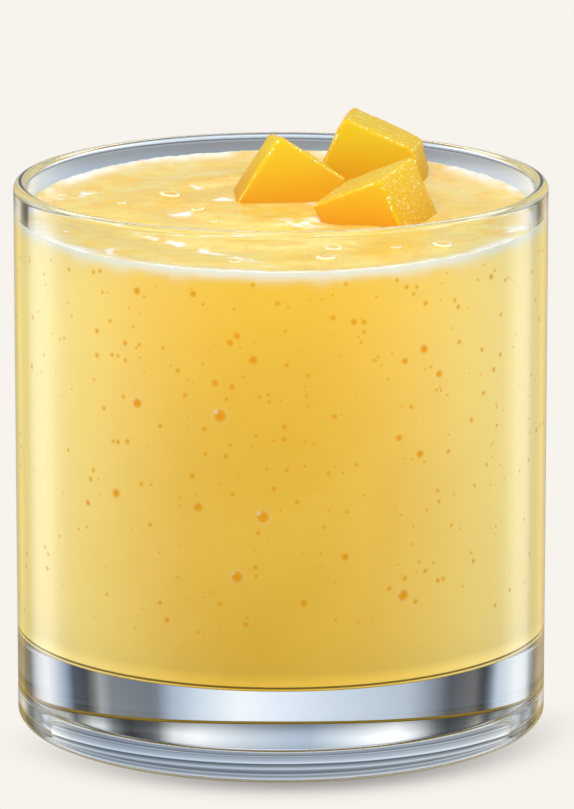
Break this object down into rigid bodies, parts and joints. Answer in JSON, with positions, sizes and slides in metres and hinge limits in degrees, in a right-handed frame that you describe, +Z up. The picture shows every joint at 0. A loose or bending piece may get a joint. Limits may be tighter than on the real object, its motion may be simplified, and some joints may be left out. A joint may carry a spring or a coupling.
{
  "type": "mango lassi",
  "caption": "Mango lassi in a straight clear glass with a thick base, filled almost to the rim, with mango chunks half sunk in the top.",
  "frame": {"origin": "middle of the ring that the glass stands on", "axes": "+Z up along the glass's axis, -Y towards the side that the picture shows, +X to its right"},
  "size_m": [0.084, 0.084, 0.0928],
  "materials": {
    "glass": "clear soda-lime glass, fire-polished rim",
    "lassi": "thick opaque yoghurt drink, wet on top",
    "mango": "ripe mango flesh, freshly cut and moist"
  },
  "bodies": {
    "root": {"tumbler": "glass", "lassi": "lassi", "mango_cube_left": "mango", "mango_cube_back": "mango", "mango_cube_front": "mango"}
  },
  "joints": []
}
